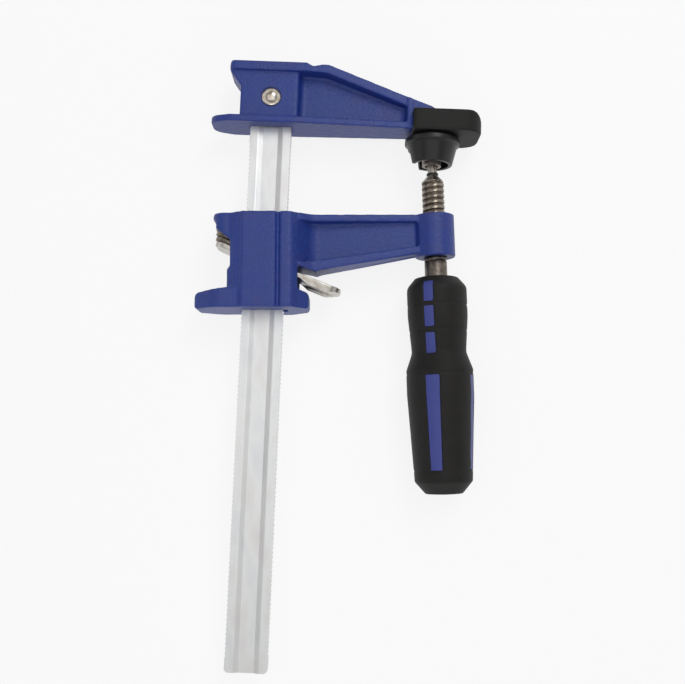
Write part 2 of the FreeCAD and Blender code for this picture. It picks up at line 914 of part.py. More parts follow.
def handle_radius(drop):
    """Radius of the handle's profile at one drop."""
    stations = handle_stations()
    ahead = next(i for i, station in enumerate(stations) if station[1] >= drop)
    above, below = stations[ahead - 1], stations[ahead]
    share = (drop - above[1]) / (below[1] - above[1])
    return above[0] + (below[0] - above[0]) * share


def handle_solid(inset):
    """The handle's outer form, with its radius drawn in by inset."""
    outside = [(radius - inset, -handle_top - drop, rounding) for radius, drop, rounding in handle_stations()]
    return turned(outside + [(0, -handle_end, 0), (0, -handle_top, 0)])


def window_wedge(top, bottom, top_width, bottom_width, turn):
    """Solid wedge through one window of the grip, from its top drop to its bottom drop."""
    corners = [
        (-top_width / 2, -handle_top - top, 0),
        (top_width / 2, -handle_top - top, 0),
        (bottom_width / 2, -handle_top - bottom, 0),
        (-bottom_width / 2, -handle_top - bottom, 0),
    ]
    wedge = rounded_face(corners, side_point).extrude(Vector(0, 0, 2 * handle_swell_radius))
    wedge.rotate(Vector(), ABOUT_Y, turn)
    return wedge


def window_wedges():
    """A long strip on each quarter of the handle, and a row of dashes on its front and back."""
    wedges = []
    for side in range(inlay_count):
        quarter = side * 360 / inlay_count
        end = handle_end_drop - strip_end_margin
        wedges.append(window_wedge(strip_drop, end, strip_top_width, strip_end_width, inlay_turn + quarter))
    for quarter in (0, 180):
        for drop in dash_drops:
            wedges.append(window_wedge(drop, drop + dash_length, dash_width, dash_width, dash_turn + quarter))
    return wedges


def core_cylinder():
    return round_bar(core_radius, -handle_end + grip_cover, -handle_top - grip_cover)


def tang_bore():
    return round_bar(tang_radius + running_fit, -handle_top - tang_length, -handle_top)


def handle_core():
    """Hard core with raised fillings that show through the grip's windows."""
    fillings = handle_solid(inlay_sink).common(Part.makeCompound(window_wedges()))
    return down_spindle(core_cylinder().fuse(fillings).cut(tang_bore()))


def handle_grip():
    """Soft grip over the core, with windows and ring grooves."""
    grip = handle_solid(0).cut([core_cylinder(), tang_bore()] + window_wedges())
    for drop in groove_drops + (handle_end_drop - groove_end_margin,):
        low = -handle_top - drop - groove_height / 2
        high = low + groove_height
        floor = handle_radius(drop) - groove_depth
        band = round_bar(handle_swell_radius + overshoot, low, high)
        grip = grip.cut(band.cut(round_bar(floor, low, high)))
    return down_spindle(grip)


NODES = {
    "bar": bar,
    "fixed_jaw": fixed_jaw,
    "head_rivet": head_rivet,
    "fixed_jaw_pad": fixed_jaw_pad,
    "sliding_jaw": sliding_jaw,
    "release_lever": release_lever,
    "clutch_spring": clutch_spring,
    "spindle": spindle,
    "neck_ring": neck_ring,
    "swivel_socket": swivel_socket,
    "swivel_cap": swivel_cap,
    "handle_core": handle_core,
    "handle_grip": handle_grip,
}

os.makedirs("parts", exist_ok=True)
for name, make in NODES.items():
    make().exportStep(f"parts/{name}.step")
for number in range(plate_count):
    clutch_plate(number).exportStep(f"parts/clutch_plate_{number + 1}.step")
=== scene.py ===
import json
import math

import bmesh
import bpy
from mathutils import Matrix, Vector


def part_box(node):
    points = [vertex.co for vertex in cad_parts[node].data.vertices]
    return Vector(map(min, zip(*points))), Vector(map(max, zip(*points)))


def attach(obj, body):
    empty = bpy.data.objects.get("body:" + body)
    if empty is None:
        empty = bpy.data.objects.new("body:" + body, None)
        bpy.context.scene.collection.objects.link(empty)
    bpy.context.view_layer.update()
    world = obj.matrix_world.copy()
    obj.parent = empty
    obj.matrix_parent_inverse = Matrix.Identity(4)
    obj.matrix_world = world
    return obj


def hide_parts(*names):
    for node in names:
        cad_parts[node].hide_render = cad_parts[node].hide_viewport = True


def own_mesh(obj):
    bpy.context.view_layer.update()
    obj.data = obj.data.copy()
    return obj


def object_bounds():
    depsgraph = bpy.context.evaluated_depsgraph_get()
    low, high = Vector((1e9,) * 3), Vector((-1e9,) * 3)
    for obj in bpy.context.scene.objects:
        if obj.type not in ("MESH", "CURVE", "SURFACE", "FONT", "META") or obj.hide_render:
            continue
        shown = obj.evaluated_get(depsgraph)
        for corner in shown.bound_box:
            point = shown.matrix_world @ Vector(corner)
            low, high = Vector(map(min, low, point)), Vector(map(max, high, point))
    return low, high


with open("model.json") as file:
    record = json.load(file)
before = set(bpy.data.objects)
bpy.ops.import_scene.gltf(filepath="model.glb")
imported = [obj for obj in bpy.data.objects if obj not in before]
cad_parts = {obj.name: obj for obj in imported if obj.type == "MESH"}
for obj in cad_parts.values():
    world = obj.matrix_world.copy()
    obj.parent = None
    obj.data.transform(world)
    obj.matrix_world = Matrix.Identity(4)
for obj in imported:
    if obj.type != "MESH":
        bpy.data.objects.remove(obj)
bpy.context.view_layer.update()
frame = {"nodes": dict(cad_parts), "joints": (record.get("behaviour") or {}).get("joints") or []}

# Quick release bar clamp, lying on its side with the bar's flat face up.
# Sizes are written in millimetres and turned to metres by MM. A drop is a distance down the spindle.
MM = 0.001
NODES = frame["nodes"]
JOINTS = {joint["name"]: joint for joint in frame["joints"]}

# The spindle's axis, from the clamping face down to the handle
SPINDLE_AXIS = Vector(JOINTS["screw_turn"]["axis"]).normalized()
SPINDLE_TURN = SPINDLE_AXIS.to_track_quat("Z", "Y").to_matrix().to_4x4()

# Spindle, down its axis from the clamping face
BALL_DROP = 9.0
BALL_RADIUS = 3.0
NECK_RADIUS = 2.1
NECK_END = 17.6
CONE_END = 20.6
SHANK_RADIUS = 5.0
THREAD_END = 56.8
SHANK_END = 64.6
TANG_RADIUS = 4.0
TANG_END = 124.6

# Thread, and where its flanks and its crest lie as shares of one pitch
THREAD_PITCH = 2.54
THREAD_DEPTH = 0.4
THREAD_ROOT = SHANK_RADIUS - THREAD_DEPTH
THREAD_STEPS = 36
FLANK_START = 0.16
CREST_START = 0.36
CREST_END = 0.82

# How far the plain lengths reach into the thread, and what their edges lose there
THREAD_LAP = 0.4
CONE_EDGE = 0.5
CONE_LIP = 0.2
RUNOUT_EDGE = 0.3

# Materials of the spindle, in the order of its mesh
CREST, ROOT, SHANK, NECK = range(4)

# Ring in the neck's groove
RING_DROP = 17.0
RING_BORE = 2.15
RING_RADIUS = 2.65
RING_HEIGHT = 0.9

# Bar: width of the ramp between a rim and the sunk face, and the easing of its outer edges
RIM_RAMP = 2.2
EDGE_EASING = 0.25
# The sunk face's corners lie further from the middle line than this, and the rivet's hole nearer
SUNK_HALF = 5.0
# An outer edge is longer than this, and within a few degrees of the bar's own direction
LONG_EDGE = 5
ALONG_BAR = 0.99
# A face larger than this, in square millimetres, is flat
FLAT_AREA = 100

# Edges sharper than this many degrees stay crisp
BAR_CREASE = 35
SPINDLE_CREASE = 40

# Swivel pad's cup: radii, and drops from its flat face
CUP_RADIUS = 12.4
CUP_EDGE = 0.6
CUP_FLOOR = 3.0
CUP_SKIRT_RADIUS = 11.4
CUP_RIM_RADIUS = 9.2
CUP_HEIGHT = 11.9
CUP_WALL = 1.8

# The notch in its skirt, from its top down to the rim, between two angles in degrees from the right
NOTCH_TOP = 5.4
NOTCH_START = 168
NOTCH_END = 235

# Sliding jaw's boss: drops of its two ends, and its radius
BOSS_TOP = 36.1
BOSS_BOTTOM = 55.2
BOSS_RADIUS = 8.9

# Arm at the boss: half the thickness of its web, its flanges and their thinned ends, which spread a little
WEB_HALF = 2.2
FLANGE_HALF = 7.8
FLANGE_TIP_HALF = 5.2
FLANGE_SPREAD = 0.6

# Head rivet
RIVET_HEAD_RADIUS = 4.6
RIVET_DOME = 2.4
RIVET_SHANK_RADIUS = 2.5

# Skins: how coarse the rounded surface of each kind of piece is, and how many times its edges are eased
CAST_SKIN = (0.48, 3)
MOULDED_SKIN = (0.47, 4)
STAMPED_SKIN = (0.3, 3)
CUP_SKIN = (0.3, 4)

# Vertices nearer than WELD are one, those within ON_SURFACE of a face lie on it, and MARGIN clears an edge
WELD = 0.001
THREAD_WELD = 0.01
ON_SURFACE = 0.05
MARGIN = 0.1

# Bench top and the backdrop round it, and how far the eye sees them as plain white
FLOOR_REACH = 5000
BACKDROP_BEND = 2000
BACKDROP_HEIGHT = 5000
WHITE_SHARE = 0.85

# Camera: the photograph's own frame, its lens in pixels, and where it stands
PHOTO_WIDTH = 685
PHOTO_HEIGHT = 684
LENS_PIXELS = 900
SENSOR_WIDTH = 36
CAMERA_DISTANCE = 400
NEAREST_SEEN = 10
ORIGIN_IN_PHOTO = (431, 138.3)
# Its tilt in radians and its roll in degrees
CAMERA_TILT = 0.1
CAMERA_ROLL = 2.15


def linear(code):
    """sRGB hex colour as linear red, green, blue and alpha."""
    parts = [int(code[i:i + 2], 16) / 255 for i in (0, 2, 4)]
    return [p / 12.92 if p <= 0.04045 else ((p + 0.055) / 1.055) ** 2.4 for p in parts] + [1.0]


def add_node(tree, kind, settings, inputs):
    """Adds a node with its settings, and gives each input a value or the socket that feeds it."""
    made = tree.nodes.new(kind)
    for name, value in settings.items():
        setattr(made, name, value)
    for name, value in inputs.items():
        if isinstance(value, bpy.types.NodeSocket):
            tree.links.new(value, made.inputs[name])
        else:
            made.inputs[name].default_value = value
    return made


def empty_tree(name):
    """New material and its node tree, with nothing in it."""
    material = bpy.data.materials.new(name)
    material.use_nodes = True
    material.node_tree.nodes.clear()
    return material, material.node_tree


def start_material(name):
    """Material with object coordinates, its own surface shader and the output."""
    material, tree = empty_tree(name)
    place = add_node(tree, "ShaderNodeTexCoord", {}, {}).outputs["Object"]
    surface = add_node(tree, "ShaderNodeBsdfPrincipled", {}, {})
    add_node(tree, "ShaderNodeOutputMaterial", {}, {"Surface": surface.outputs["BSDF"]})
    return material, tree, place, surface


def grains(tree, place, size, stretch=(1, 1, 1), detail=3.0):
    """Noise whose grains are about size millimetres across, drawn out by stretch along each axis."""
    scale = [1 / (size * MM * s) for s in stretch]
    drawn_out = add_node(tree, "ShaderNodeMapping", {}, {"Vector": place, "Scale": scale}).outputs[0]
    noise = add_node(tree, "ShaderNodeTexNoise", {}, {"Vector": drawn_out, "Scale": 1.0, "Detail": detail})
    return noise.outputs["Fac"]


def shades(tree, factor, stops):
    """Colour ramp through (position, hex) stops."""
    ramp = add_node(tree, "ShaderNodeValToRGB", {}, {"Fac": factor})
    elements = ramp.color_ramp.elements
    while len(elements) < len(stops):
        elements.new(0.5)
    for element, (position, code) in zip(elements, stops):
        element.position = position
        element.color = linear(code)
    return ramp.outputs["Color"]


def spread(tree, factor, low, high):
    """Turns 0 to 1 into low to high."""
    made = add_node(tree, "ShaderNodeMapRange", {}, {"Value": factor, "To Min": low, "To Max": high})
    return made.outputs["Result"]


def relief(tree, surface, height, depth):
    """Bump that is depth millimetres from its lowest to its highest point."""
    bump = add_node(tree, "ShaderNodeBump", {}, {"Height": height, "Distance": depth * MM, "Strength": 1.0})
    tree.links.new(bump.outputs["Normal"], surface.inputs["Normal"])


def enamelled_casting():
    """Iron casting under one coat of blue enamel: the sand's grain shows softly through a low gloss."""
    material, tree, place, surface = start_material("enamelled_iron_casting")
    clouds = grains(tree, place, 11.0)
    colour = shades(tree, clouds, [(0.3, "1c388a"), (0.5, "203989"), (0.7, "2a3884")])
    sand = grains(tree, place, 1.1, detail=4.0)
    strokes = grains(tree, place, 1.7, stretch=(3.5, 1, 1))
    height = add_node(tree, "ShaderNodeMath", {"operation": "ADD"}, {0: sand, 1: strokes})
    tree.links.new(colour, surface.inputs["Base Color"])
    tree.links.new(spread(tree, sand, 0.36, 0.54), surface.inputs["Roughness"])
    surface.inputs["IOR"].default_value = 1.5
    relief(tree, surface, height.outputs[0], 0.22)
    return material


def plated_bar():
    """Drawn steel, zinc plated: near white, with faint lines along the bar and clouds in its sheen."""
    material, tree, place, surface = start_material("zinc_plated_drawn_steel")
    lines = grains(tree, place, 0.5, stretch=(1, 40, 1))
    clouds = grains(tree, place, 7.0, stretch=(1, 2.5, 1))
    colour = shades(tree, clouds, [(0.3, "d6d8da"), (0.5, "e0e1e0"), (0.75, "dbd8d8")])
    tree.links.new(colour, surface.inputs["Base Color"])
    tree.links.new(spread(tree, clouds, 0.38, 0.5), surface.inputs["Roughness"])
    surface.inputs["Metallic"].default_value = 0.9
    relief(tree, surface, lines, 0.008)
    return material


def steel(name, stops, grain, rough, metallic=1.0):
    """Bare or thinly plated steel: colour in clouds, roughness and a slight relief from one grain."""
    material, tree, place, surface = start_material(name)
    clouds = grains(tree, place, 4 * grain)
    fine = grains(tree, place, grain)
    tree.links.new(shades(tree, clouds, stops), surface.inputs["Base Color"])
    tree.links.new(spread(tree, fine, rough[0], rough[1]), surface.inputs["Roughness"])
    surface.inputs["Metallic"].default_value = metallic
    relief(tree, surface, fine, 0.02)
    return material


def moulded(name, code, worn, grain, rough, depth, gloss):
    """Moulded polymer: one colour, a little paler in patches, with the mould's fine grain."""
    material, tree, place, surface = start_material(name)
    patches = grains(tree, place, 12.0)
    fine = grains(tree, place, grain, detail=2.0)
    tree.links.new(shades(tree, patches, [(0.35, code), (0.75, worn)]), surface.inputs["Base Color"])
    tree.links.new(spread(tree, fine, rough[0], rough[1]), surface.inputs["Roughness"])
    surface.inputs["IOR"].default_value = 1.5
    surface.inputs["Specular IOR Level"].default_value = gloss
    relief(tree, surface, fine, depth)
    return material


def matt_board():
    """White painted board, which the eye, metal and glass see as near white, and which keeps the shadow."""
    material, tree = empty_tree("matt_white_board")
    board = add_node(tree, "ShaderNodeBsdfDiffuse", {}, {"Color": linear("f2f2f2")})
    glow = add_node(tree, "ShaderNodeEmission", {}, {"Color": (1, 1, 1, 1), "Strength": 1.0})
    ray = add_node(tree, "ShaderNodeLightPath", {}, {})
    either = add_node(tree, "ShaderNodeMath", {"operation": "MAXIMUM"},
                      {0: ray.outputs["Is Camera Ray"], 1: ray.outputs["Is Glossy Ray"]})
    seen = add_node(tree, "ShaderNodeMath", {"operation": "MAXIMUM"},
                    {0: either.outputs[0], 1: ray.outputs["Is Transmission Ray"]})
    share = add_node(tree, "ShaderNodeMath", {"operation": "MULTIPLY"}, {0: seen.outputs[0], 1: WHITE_SHARE})
    both = add_node(tree, "ShaderNodeMixShader", {},
                    {0: share.outputs[0], 1: board.outputs[0], 2: glow.outputs[0]})
    add_node(tree, "ShaderNodeOutputMaterial", {}, {"Surface": both.outputs[0]})
    return material


CASTING = enamelled_casting()
BAR_PLATE = plated_bar()
# Cold headed and nickel plated: a warm bright metal with a polished crown
RIVET_NICKEL = steel("nickel_plated_rivet", [(0.35, "b5a899"), (0.7, "d9d2c8")],
                     grain=0.6, rough=(0.12, 0.24))
# Stamped steel, warm and slightly yellow and dull; its dark grey-brown is painted shade, as the plates lie in
# the shadow of the casting
SHADED_PLATE_STEEL = steel("stamped_steel_painted_shade", [(0.3, "5f5850"), (0.7, "857b6d")], grain=0.5, rough=(0.32, 0.5))
# Stamped, tumbled and plated: bright with soft edges
LEVER_STEEL = steel("tumbled_plated_steel", [(0.3, "a29b90"), (0.55, "bdb9b2"), (0.8, "cfcdc8")],
                    grain=0.7, rough=(0.22, 0.4))
# Rolled thread: grey-brown flanks that shine on the crests
CREST_STEEL = steel("rolled_thread_steel", [(0.3, "7b7065"), (0.7, "9c9388")], grain=0.4, rough=(0.24, 0.38))
# The same steel, darker in the thread's roots as painted shade
SHADED_ROOT_STEEL = steel("thread_root_steel_painted_shade", [(0.3, "4b423b"), (0.7, "665c52")], grain=0.4, rough=(0.35, 0.5))
# Plain length of the spindle: dull grey-brown, drawn and oiled
SHANK_STEEL = steel("drawn_oiled_steel", [(0.3, "5a534c"), (0.7, "7d756c")], grain=0.4, rough=(0.34, 0.48))
# Ball and neck, turned and rubbed clean by the socket: a lighter, warmer grey
NECK_STEEL = steel("turned_neck_steel", [(0.3, "8d867d"), (0.7, "b8b2a9")],
                   grain=0.4, rough=(0.3, 0.45), metallic=0.75)
# Spring wire: dark and smooth
SPRING_STEEL = steel("spring_wire_steel", [(0.3, "6d6e70"), (0.7, "8b8c8e")], grain=0.3, rough=(0.25, 0.35))
# Pressed collar round the ball: dull grey
SOCKET_STEEL = steel("pressed_collar_steel", [(0.3, "7d766e"), (0.7, "a29a91")],
                     grain=0.4, rough=(0.35, 0.5), metallic=0.75)
# Thermoplastic rubber: nearly black, matt, with a fine mould grain
SOFT_BLACK = moulded("thermoplastic_rubber", "191817", "22201f",
                     grain=0.35, rough=(0.5, 0.68), depth=0.03, gloss=0.25)
# Glass-filled nylon: black with a satin sheen
HARD_BLACK = moulded("satin_black_nylon", "101111", "181919",
                     grain=0.5, rough=(0.3, 0.42), depth=0.015, gloss=0.4)
# Polypropylene, moulded: a calm blue with an even satin face
BLUE_PLASTIC = moulded("blue_polypropylene", "3d4791", "454c94",
                       grain=0.6, rough=(0.4, 0.5), depth=0.01, gloss=0.35)


def paint_node(name, material):
    """Gives a carried-over CAD node its finish."""
    NODES[name].data.materials.clear()
    NODES[name].data.materials.append(material)


def merged_copy(node):
    """The node's own solid with its triangles joined along their edges."""
    bm = bmesh.new()
    bm.from_mesh(NODES[node].data)
    bmesh.ops.remove_doubles(bm, verts=bm.verts, dist=WELD * MM)
    return bm


def as_mesh(bm, name, *materials):
    """Smooth shaded mesh with its materials, without the normals that a node's mesh brings along."""
    mesh = bpy.data.meshes.new(name)
    bm.to_mesh(mesh)
    bm.free()
    if "custom_normal" in mesh.attributes:
        mesh.attributes.remove(mesh.attributes["custom_normal"])
    for material in materials:
        mesh.materials.append(material)
    for polygon in mesh.polygons:
        polygon.use_smooth = True
    return mesh


def finished(mesh, body, node):
    """Makes a mesh into a piece that rides a body and stands for a CAD node."""
    piece = bpy.data.objects.new(mesh.name, mesh)
    bpy.context.scene.collection.objects.link(piece)
    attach(piece, body)
    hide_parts(node)
    return piece


def eased(bm, name, body, material, skin, node):
    """Solids under one soft skin, their edges eased as on a casting or a moulding, for a CAD node."""
    for face in bm.faces:
        face.material_index = 0
    piece = finished(as_mesh(bm, name, material), body, node)
    coarseness, passes = skin
    remesh = piece.modifiers.new("skin", "REMESH")
    remesh.mode = "VOXEL"
    remesh.voxel_size = coarseness * MM
    remesh.use_smooth_shade = True
    smooth = piece.modifiers.new("easing", "SMOOTH")
    smooth.factor = 0.5
    smooth.iterations = passes


def spun(profile, steps, turn):
    """Closed piece turned from (radius, height) points about Z, then laid by turn."""
    bm = bmesh.new()
    verts = [bm.verts.new((radius * MM, 0, height * MM)) for radius, height in profile]
    edges = [bm.edges.new(pair) for pair in zip(verts, verts[1:])]
    bmesh.ops.spin(bm, geom=verts + edges, cent=(0, 0, 0), axis=(0, 0, 1), angle=2 * math.pi, steps=steps,
                   use_merge=True)
    bmesh.ops.remove_doubles(bm, verts=bm.verts, dist=WELD * MM)
    bmesh.ops.recalc_face_normals(bm, faces=bm.faces)
    bmesh.ops.transform(bm, matrix=turn, verts=bm.verts)
    return bm


def arc(centre, radius, start, end, steps):
    """Points on an arc, angles in degrees from the first axis."""
    angles = [math.radians(start + (end - start) * i / steps) for i in range(steps + 1)]
    return [(centre[0] + radius * math.cos(a), centre[1] + radius * math.sin(a)) for a in angles]


def join_into(bm, other):
    """Adds other's faces to bm as a further closed shell."""
    mesh = bpy.data.meshes.new("shell")
    other.to_mesh(mesh)
    other.free()
    bm.from_mesh(mesh)
    bpy.data.meshes.remove(mesh)


def thin_flanges(bm):
    """Thins the arm's flanges toward the boss, so that it stands out round between them."""
    across = -SPINDLE_AXIS.cross(Vector((0, 0, 1)))
    middle = (BOSS_TOP + BOSS_BOTTOM) / 2
    thinning = (FLANGE_TIP_HALF - WEB_HALF) / (FLANGE_HALF - WEB_HALF)
    for vert in bm.verts:
        drop = vert.co.dot(SPINDLE_AXIS) / MM
        side = vert.co.dot(across) / MM
        height = abs(vert.co.z) / MM
        on_boss = side <= 0 and abs(math.hypot(side, height) - BOSS_RADIUS) <= ON_SURFACE
        on_flange = WEB_HALF < height < FLANGE_HALF + MARGIN
        if not (on_boss and on_flange and BOSS_TOP + MARGIN < drop < BOSS_BOTTOM - MARGIN):
            continue
        thinned = WEB_HALF + (height - WEB_HALF) * thinning
        vert.co += across * (-math.sqrt(BOSS_RADIUS ** 2 - thinned ** 2) - side) * MM
        vert.co.z = math.copysign(thinned * MM, vert.co.z)
        vert.co += SPINDLE_AXIS * math.copysign(FLANGE_SPREAD, drop - middle) * MM


def castings():
    """Both jaws: rough castings with soft edges under their enamel."""
    fixed = merged_copy("fixed_jaw")
    eased(fixed, "fixed_jaw_casting", "frame", CASTING, CAST_SKIN, "fixed_jaw")
    sliding = merged_copy("sliding_jaw")
    thin_flanges(sliding)
    eased(sliding, "sliding_jaw_casting", "slider", CASTING, CAST_SKIN, "sliding_jaw")


def bar():
    """The bar, its outer edges eased by the drawing and its sunk face meeting the rims in shallow ramps."""
    bm = merged_copy("bar")
    bmesh.ops.dissolve_limit(bm, angle_limit=math.radians(1), verts=bm.verts, edges=bm.edges)
    low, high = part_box("bar")
    middle = (low.x + high.x) / 2
    rim_start = (high.x - low.x) / 2 - RIM_RAMP * MM
    sunk = [vert for vert in bm.verts if high.z - abs(vert.co.z) > ON_SURFACE * MM
            and SUNK_HALF * MM < abs(vert.co.x - middle) < rim_start]
    for vert in sunk:
        vert.co.x += math.copysign(RIM_RAMP * MM, middle - vert.co.x)
    raised = [edge for edge in bm.edges if not set(edge.verts) & set(sunk)]
    outer = [edge for edge in raised if edge.calc_length() > LONG_EDGE * MM
             and abs((edge.verts[0].co - edge.verts[1].co).normalized().y) > ALONG_BAR]
    bmesh.ops.bevel(bm, geom=outer, offset=EDGE_EASING * MM, offset_type="OFFSET", affect="EDGES", segments=3,
                    profile=0.5, material=-1, clamp_overlap=True)
    mesh = as_mesh(bm, "bar_body", BAR_PLATE)
    mesh.set_sharp_from_angle(angle=math.radians(BAR_CREASE))
    for polygon in mesh.polygons:
        polygon.use_smooth = polygon.area < FLAT_AREA * MM ** 2
    finished(mesh, "frame", "bar")


def rivet():
    """A domed head on each side of the jaw, on one shank."""
    low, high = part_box("head_rivet")
    seat = (high.z - low.z) / 2 / MM - RIVET_DOME
    dome_radius = (RIVET_HEAD_RADIUS ** 2 + RIVET_DOME ** 2) / (2 * RIVET_DOME)
    rim_angle = math.degrees(math.asin((dome_radius - RIVET_DOME) / dome_radius))
    crown = arc((0, seat + RIVET_DOME - dome_radius), dome_radius, rim_angle, 90, steps=10)
    upper = [(RIVET_SHANK_RADIUS, 0), (RIVET_SHANK_RADIUS, seat), (RIVET_HEAD_RADIUS, seat)] + crown
    profile = [(radius, -height) for radius, height in reversed(upper)] + upper[1:]
    bm = spun(profile, steps=64, turn=Matrix.Translation((low + high) / 2))
    finished(as_mesh(bm, "head_rivet_dome", RIVET_NICKEL), "frame", "head_rivet")


def thread():
    """One thread profile carried round the shank and down by its pitch."""
    turns = math.ceil((THREAD_END - CONE_END) / THREAD_PITCH) + 1
    profile = [(THREAD_ROOT, 0), (THREAD_ROOT, FLANK_START), (SHANK_RADIUS, CREST_START),
               (SHANK_RADIUS, CREST_END), (THREAD_ROOT, 1)]
    bm = bmesh.new()
    drops = [CONE_END + (share - 1) * THREAD_PITCH for _, share in profile]
    verts = [bm.verts.new((radius * MM, 0, drop * MM)) for (radius, _), drop in zip(profile, drops)]
    edges = [bm.edges.new(pair) for pair in zip(verts, verts[1:])]
    bmesh.ops.spin(bm, geom=verts + edges, cent=(0, 0, 0), axis=(0, 0, 1), angle=2 * math.pi * turns,
                   steps=THREAD_STEPS * turns, dvec=(0, 0, THREAD_PITCH * MM / THREAD_STEPS))
    bmesh.ops.remove_doubles(bm, verts=bm.verts, dist=THREAD_WELD * MM)
    for drop, outward in ((CONE_END, -1), (THREAD_END, 1)):
        cut = bmesh.ops.bisect_plane(bm, geom=bm.verts[:] + bm.edges[:] + bm.faces[:],
                                     plane_co=(0, 0, drop * MM), plane_no=(0, 0, outward), clear_outer=True)
        rim = [item for item in cut["geom_cut"] if isinstance(item, bmesh.types.BMEdge)]
        bmesh.ops.contextual_create(bm, geom=rim)
    bmesh.ops.recalc_face_normals(bm, faces=bm.faces)
    # Faces deep in the thread take the root steel, whose darker colour is painted shade
    for face in bm.faces:
        middle = face.calc_center_median()
        deep = math.hypot(middle.x, middle.y) < (SHANK_RADIUS - THREAD_DEPTH / 2) * MM
        face.material_index = ROOT if deep else CREST
    return bm


def spindle():
    """Ball, neck and cone, the threaded length, and the plain shank into the handle."""
    ball_half = math.degrees(math.acos(NECK_RADIUS / BALL_RADIUS))
    ball = arc((0, BALL_DROP), BALL_RADIUS, -90, ball_half, steps=16)
    cone = [(NECK_RADIUS, NECK_END), (SHANK_RADIUS - CONE_EDGE, CONE_END - CONE_EDGE),
            (SHANK_RADIUS - CONE_LIP, CONE_END), (THREAD_ROOT, CONE_END + THREAD_LAP),
            (0, CONE_END + THREAD_LAP)]
    shank = [(0, THREAD_END - THREAD_LAP), (THREAD_ROOT, THREAD_END - THREAD_LAP),
             (SHANK_RADIUS - RUNOUT_EDGE, THREAD_END), (SHANK_RADIUS, THREAD_END + THREAD_LAP),
             (SHANK_RADIUS, SHANK_END), (TANG_RADIUS, SHANK_END), (TANG_RADIUS, TANG_END), (0, TANG_END)]
    bm = thread()
    for profile, index in ((ball + cone, NECK), (shank, SHANK)):
        start = len(bm.faces)
        join_into(bm, spun(profile, steps=48, turn=Matrix.Identity(4)))
        for face in list(bm.faces)[start:]:
            face.material_index = index
    bmesh.ops.transform(bm, matrix=SPINDLE_TURN, verts=bm.verts)
    mesh = as_mesh(bm, "threaded_spindle", CREST_STEEL, SHADED_ROOT_STEEL, SHANK_STEEL, NECK_STEEL)
    mesh.set_sharp_from_angle(angle=math.radians(SPINDLE_CREASE))
    finished(mesh, "screw", "spindle")


def ring():
    """Round-edged ring that lies in the neck's groove and keeps the cup from sliding up the spindle."""
    half = (RING_RADIUS - RING_BORE) / 2
    across = RING_BORE + half
    upper = arc((across, RING_DROP + RING_HEIGHT / 2 - half), half, 0, 180, steps=8)
    lower = arc((across, RING_DROP - RING_HEIGHT / 2 + half), half, 180, 360, steps=8)
    bm = spun(upper + lower + upper[:1], steps=48, turn=SPINDLE_TURN)
    finished(as_mesh(bm, "neck_snap_ring", HARD_BLACK), "screw_carrier", "neck_ring")


def coil():
    """The coil spring between the housing's floor and the heels, which shortens as the lever is squeezed;
    here it rides the slider unchanged, on a mesh of its own.
    """
    mesh = as_mesh(merged_copy("clutch_spring"), "clutch_coil", SPRING_STEEL)
    piece = finished(mesh, "slider", "clutch_spring")
    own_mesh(piece)


def clutch():
    """Finger lever, the three plates above it and the spring under their heels."""
    eased(merged_copy("release_lever"), "release_lever_blade", "lever", LEVER_STEEL,
          STAMPED_SKIN, "release_lever")
    # The plates take the stamped steel whose dark grey-brown is painted shade
    for number in (1, 2, 3):
        plate = f"clutch_plate_{number}"
        eased(merged_copy(plate), f"clutch_plate_blade_{number}", f"plate_{number}",
              SHADED_PLATE_STEEL, STAMPED_SKIN, plate)
    coil()


def skirt_radius(drop):
    """Outer radius of the cup's tapering skirt at a drop from its flat face."""
    taper = (CUP_RIM_RADIUS - CUP_SKIRT_RADIUS) / (CUP_HEIGHT - CUP_FLOOR)
    return CUP_SKIRT_RADIUS + taper * (drop - CUP_FLOOR)


def cup():
    """Flat face and tapering skirt, with a wide notch at the back of its left side that opens at the rim."""
    low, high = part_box("swivel_cap")
    face_middle = ((low.x + high.x) / 2, high.y, (low.z + high.z) / 2)
    lay = Matrix.Translation(face_middle) @ Matrix.Rotation(math.pi / 2, 4, "X")
    top = [(0, 0), (CUP_RADIUS - CUP_EDGE, 0), (CUP_RADIUS, CUP_EDGE), (CUP_RADIUS, CUP_FLOOR),
           (CUP_SKIRT_RADIUS, CUP_FLOOR), (skirt_radius(NOTCH_TOP), NOTCH_TOP),
           (skirt_radius(NOTCH_TOP) - CUP_WALL, NOTCH_TOP), (CUP_SKIRT_RADIUS - CUP_WALL, CUP_FLOOR),
           (0, CUP_FLOOR)]
    bm = spun(top, steps=96, turn=lay)
    skirt_top = NOTCH_TOP - CUP_EDGE
    corners = [(skirt_radius(skirt_top), skirt_top), (CUP_RIM_RADIUS, CUP_HEIGHT),
               (CUP_RIM_RADIUS - CUP_WALL, CUP_HEIGHT), (skirt_radius(skirt_top) - CUP_WALL, skirt_top)]
    skirt = bmesh.new()
    section = skirt.faces.new([skirt.verts.new((radius * MM, 0, drop * MM)) for radius, drop in corners])
    bmesh.ops.spin(skirt, geom=[section], cent=(0, 0, 0), axis=(0, 0, 1),
                   angle=math.radians(360 + NOTCH_START - NOTCH_END), steps=80)
    bmesh.ops.recalc_face_normals(skirt, faces=skirt.faces)
    turn = Matrix.Rotation(math.radians(NOTCH_END), 4, "Z")
    bmesh.ops.transform(skirt, matrix=lay @ turn, verts=skirt.verts)
    join_into(bm, skirt)
    eased(bm, "swivel_pad_cup", "swivel_pad", HARD_BLACK, CUP_SKIN, "swivel_cap")


def pads():
    """Soft cap on the fixed jaw's nose, and the swivel pad with its collar."""
    eased(merged_copy("fixed_jaw_pad"), "fixed_jaw_soft_cap", "frame", SOFT_BLACK,
          MOULDED_SKIN, "fixed_jaw_pad")
    cup()
    paint_node("swivel_socket", SOCKET_STEEL)


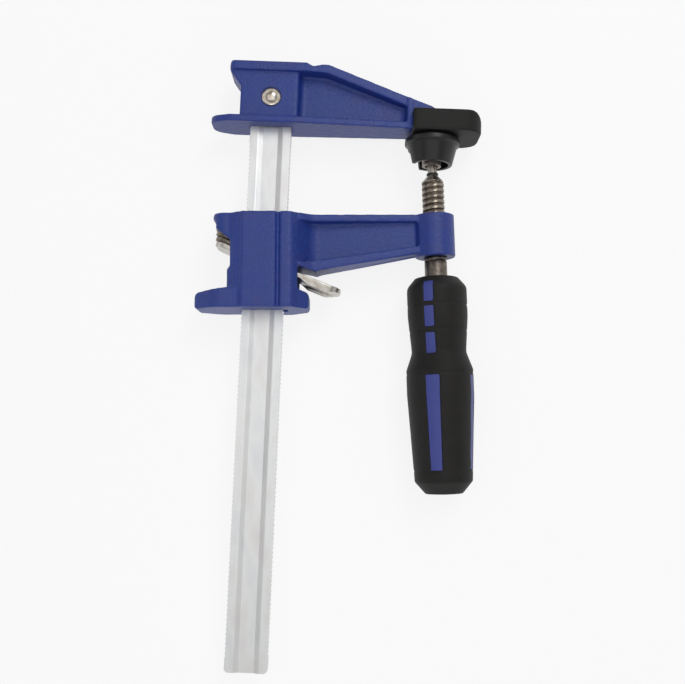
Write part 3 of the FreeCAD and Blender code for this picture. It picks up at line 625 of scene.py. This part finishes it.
def handle():
    """Soft grip over a hard core that shows through its windows."""
    eased(merged_copy("handle_grip"), "handle_soft_grip", "screw", SOFT_BLACK,
          MOULDED_SKIN, "handle_grip")
    paint_node("handle_core", BLUE_PLASTIC)


def camera():
    """The photograph's camera, found from the bar's edges and the clamping face."""
    roll = math.radians(CAMERA_ROLL)
    upright = Matrix(((math.cos(roll), math.sin(roll), 0), (-math.sin(roll), math.cos(roll), 0), (0, 0, 1)))
    forward = Vector((0, math.sin(CAMERA_TILT), -math.cos(CAMERA_TILT)))
    up = Vector((0, math.cos(CAMERA_TILT), math.sin(CAMERA_TILT)))
    right = Vector((1, 0, 0))
    across = (ORIGIN_IN_PHOTO[0] - PHOTO_WIDTH / 2) / LENS_PIXELS
    above = (PHOTO_HEIGHT / 2 - ORIGIN_IN_PHOTO[1]) / LENS_PIXELS
    ray = forward + right * across + up * above
    depth = CAMERA_DISTANCE * math.cos(CAMERA_TILT) / -ray.z
    place = upright.transposed() @ (-ray * depth)
    axes = [upright.transposed() @ axis for axis in (right, up, -forward)]
    lens = bpy.data.cameras.new("photograph_camera")
    lens.sensor_width = SENSOR_WIDTH
    lens.lens = SENSOR_WIDTH * LENS_PIXELS / PHOTO_WIDTH
    lens.clip_start = NEAREST_SEEN * MM
    view = bpy.data.objects.new("photograph_camera", lens)
    view.matrix_world = Matrix.Translation(place * MM) @ Matrix(axes).transposed().to_4x4()
    bpy.context.scene.collection.objects.link(view)
    bpy.context.scene.camera = view


def floor():
    """Pale bench top that turns up into a backdrop all round."""
    rise = arc((FLOOR_REACH, BACKDROP_BEND), BACKDROP_BEND, -90, 0, steps=12)
    wall = [(FLOOR_REACH + BACKDROP_BEND, BACKDROP_HEIGHT)]
    bm = spun([(0, 0)] + rise + wall, steps=96, turn=Matrix.Translation((0, 0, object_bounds()[0][2])))
    piece = bpy.data.objects.new("bench_top", as_mesh(bm, "bench_top", matt_board()))
    bpy.context.scene.collection.objects.link(piece)


def lamp(name, place, target, size, power):
    """Soft rectangular lamp aimed at a point; places and sizes in millimetres, power in watts."""
    light = bpy.data.lights.new(name, "AREA")
    light.shape = "RECTANGLE"
    light.size, light.size_y = Vector(size) * MM
    light.energy = power
    holder = bpy.data.objects.new(name, light)
    aim = (Vector(target) - Vector(place)).to_track_quat("-Z", "Y").to_matrix().to_4x4()
    holder.matrix_world = Matrix.Translation(Vector(place) * MM) @ aim
    bpy.context.scene.collection.objects.link(holder)


def lighting():
    """Light tent: an even pale surround, a broad panel over the clamp, and lamps beyond its head and foot."""
    world = bpy.data.worlds.new("light_tent")
    bpy.context.scene.world = world
    world.use_nodes = True
    tree = world.node_tree
    tree.nodes.clear()
    tent = add_node(tree, "ShaderNodeBackground", {}, {"Color": linear("ffffff"), "Strength": 0.34})
    add_node(tree, "ShaderNodeOutputWorld", {}, {"Surface": tent.outputs[0]})
    clamp_middle = (-30, -90, 0)
    lamp("panel", place=(-100, -100, 900), target=(-100, -100, 0), size=(1200, 900), power=2.7)
    lamp("head_lamp", place=(200, 380, 720), target=clamp_middle, size=(350, 350), power=1.8)
    lamp("foot_lamp", place=(50, -950, 300), target=clamp_middle, size=(800, 300), power=1.5)
    bpy.context.scene.view_settings.view_transform = "Standard"


castings()
bar()
rivet()
spindle()
ring()
clutch()
pads()
handle()
camera()
floor()
lighting()
